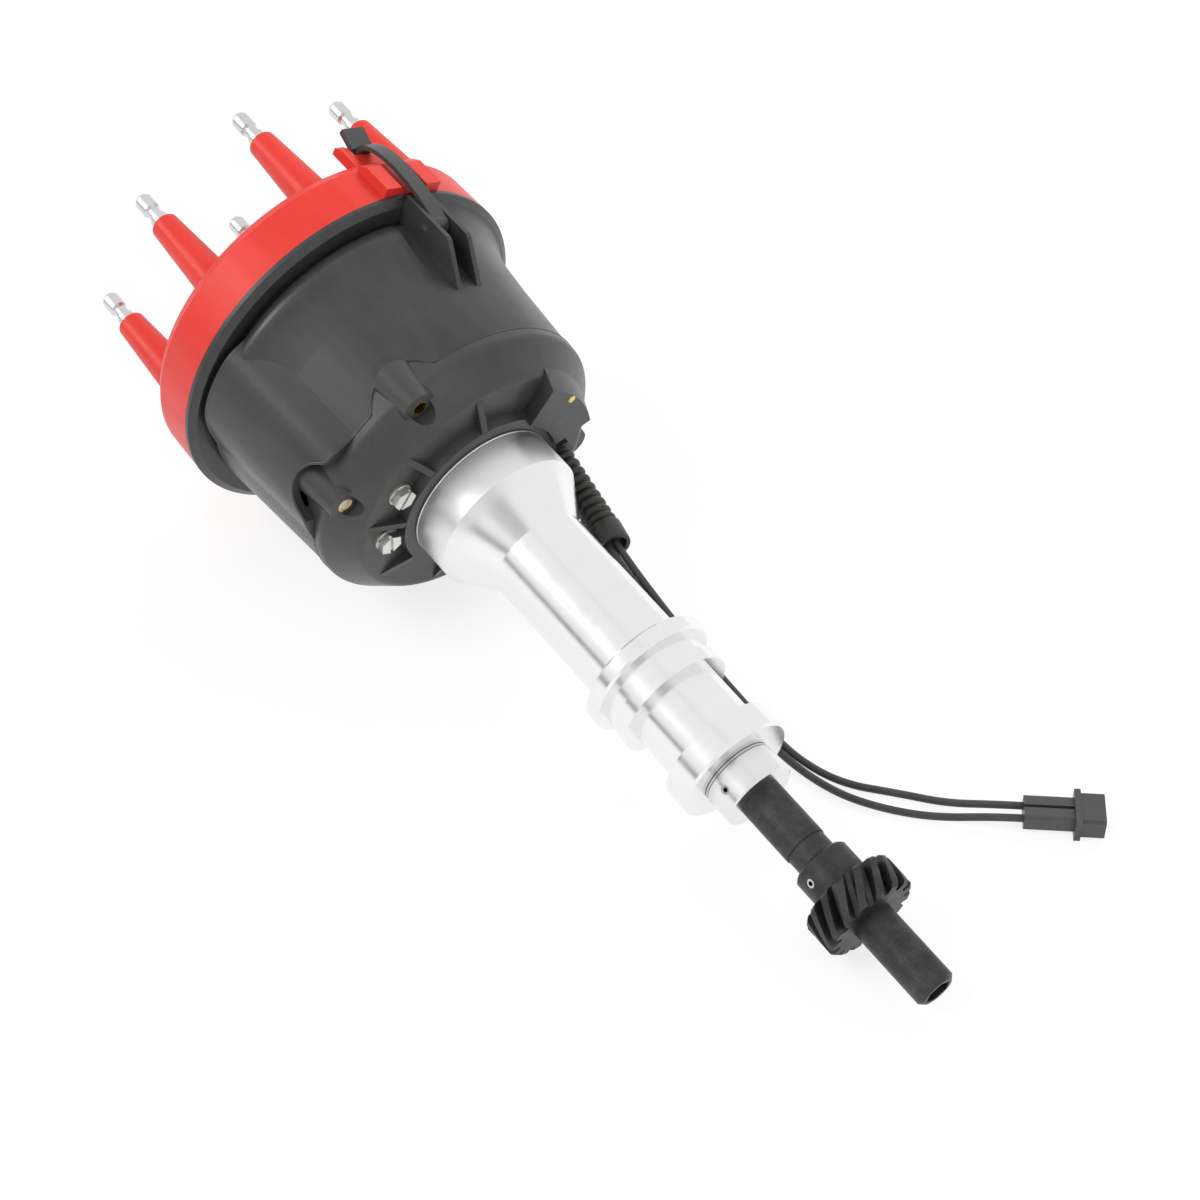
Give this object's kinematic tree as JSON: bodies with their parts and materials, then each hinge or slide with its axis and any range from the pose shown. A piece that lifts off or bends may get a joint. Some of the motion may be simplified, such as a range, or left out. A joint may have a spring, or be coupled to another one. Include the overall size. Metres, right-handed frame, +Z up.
{
  "type": "ignition distributor",
  "caption": "Electronic ignition distributor with a screw-down style terminal cap, adapter, magnetic pickup, mechanical advance and a geared shaft, lying on its side.",
  "frame": {"origin": "middle of the part's footprint, on the surface it lies on", "axes": "+Z up, +X along the length from the cap towards the drive gear, +Y across, towards the side where the pickup lead lies; the shaft axis leans 11.2 degrees down towards the gear because the part rests on the lower latch's ears and the gear"},
  "size_m": [0.3638, 0.1595, 0.1357],
  "materials": {
    "cast_aluminium": "turned satin",
    "dark_steel": "black oxide",
    "bright_steel": "ground",
    "zinc_steel": "zinc plated",
    "black_resin": "moulded satin",
    "red_resin": "moulded gloss",
    "rotor_resin": "moulded gloss",
    "bronze": "sintered",
    "brass": "machined",
    "stainless": "polished",
    "rubber": "soft matte",
    "wire_jacket": "extruded",
    "connector_black": "moulded",
    "carbon": "sintered",
    "magnet": "sintered",
    "copper_winding": "taped"
  },
  "bodies": {
    "housing": {"shaft_housing": "cast_aluminium", "lower_bushing": "bronze", "bearing_outer_race": "bright_steel", "housing_snap_ring": "dark_steel", "bowl_base": "black_resin", "head_screws": "zinc_steel", "hex_screws": "zinc_steel", "hex_screw_washers": "zinc_steel", "threaded_inserts": "brass", "adapter_screws": "zinc_steel", "cap_adapter": "black_resin", "latch_pin_a": "bright_steel", "latch_pin_b": "bright_steel", "distributor_cap": "red_resin", "plug_terminals": "stainless", "coil_terminal": "stainless", "brush_spring": "bright_steel", "pickup_plate": "zinc_steel", "pickup_bracket": "zinc_steel", "pickup_pole": "bright_steel", "pickup_magnet": "magnet", "coil_bobbin": "black_resin", "pickup_winding": "copper_winding", "pickup_screws": "zinc_steel", "pickup_lead": "rubber", "cable_boot": "rubber", "pickup_wire_a": "wire_jacket", "pickup_wire_b": "wire_jacket", "connector_body": "connector_black", "connector_contacts": "brass"},
    "shaft": {"mainshaft": "dark_steel", "bearing_inner_race": "bright_steel", "shaft_snap_ring": "dark_steel", "thrust_washer": "bright_steel", "thrust_collar": "bright_steel", "collar_pin": "bright_steel", "drive_gear": "dark_steel", "gear_pin": "bright_steel", "cam_plate": "zinc_steel", "cam_nut": "zinc_steel", "stop_bushings": "black_resin"},
    "ball_set": {"bearing_balls": "bright_steel", "bearing_cage": "bright_steel"},
    "advance": {"advance_sleeve": "bright_steel", "reluctor": "bright_steel", "weight_plate": "zinc_steel", "weight_pins": "bright_steel", "rotor_body": "rotor_resin", "rotor_contact": "brass", "rotor_screws": "zinc_steel", "advance_spring_a": "stainless", "advance_spring_b": "stainless"},
    "weight_a": {"advance_weight_a": "zinc_steel"},
    "weight_b": {"advance_weight_b": "zinc_steel"},
    "brush": {"carbon_brush": "carbon"},
    "latch_a": {"latch_a": "black_resin"},
    "latch_b": {"latch_b": "black_resin"}
  },
  "joints": [
    {"name": "shaft_spin", "type": "hinge", "parent": "housing", "child": "shaft", "pos_m": [0.09123, 0, 0.02772], "axis": [-0.981, 0, 0.194], "continuous": true},
    {"name": "ball_set_spin", "type": "hinge", "parent": "housing", "child": "ball_set", "pos_m": [-0.02914, 0, 0.05153], "axis": [-0.981, 0, 0.194], "continuous": true},
    {"name": "advance", "type": "hinge", "parent": "shaft", "child": "advance", "pos_m": [-0.05592, 0, 0.05682], "axis": [-0.981, 0, 0.194], "range_deg": [0, 10.5], "stiffness_Nm_per_rad": 0.6, "deforming": ["advance_spring_a", "advance_spring_b"]},
    {"name": "weight_a_swing", "type": "hinge", "parent": "advance", "child": "weight_a", "pos_m": [-0.063, 0.00382, 0.08031], "axis": [-0.981, 0, 0.194], "range_deg": [0, 10.5]},
    {"name": "weight_b_swing", "type": "hinge", "parent": "advance", "child": "weight_b", "pos_m": [-0.07141, -0.00382, 0.0378], "axis": [-0.981, 0, 0.194], "range_deg": [0, 10.5]},
    {"name": "brush_slide", "type": "slide", "parent": "housing", "child": "brush", "axis": [-0.981, 0, 0.194], "range_m": [0, 0.0015], "stiffness_N_per_m": 300, "deforming": ["brush_spring"]},
    {"name": "latch_a_swing", "type": "hinge", "parent": "housing", "child": "latch_a", "pos_m": [-0.08338, 0.02104, 0.12214], "axis": [-0.0654, 0.9415, -0.3307], "range_deg": [0, 110]},
    {"name": "latch_b_swing", "type": "hinge", "parent": "housing", "child": "latch_b", "pos_m": [-0.10617, -0.02104, 0.00687], "axis": [0.0654, -0.9415, 0.3307], "range_deg": [0, 110]}
  ],
  "couplings": [
    {"joint": "ball_set_spin", "follows": "shaft_spin", "ratio": 0.3987},
    {"joint": "weight_a_swing", "follows": "advance", "ratio": 1},
    {"joint": "weight_b_swing", "follows": "advance", "ratio": 1}
  ]
}
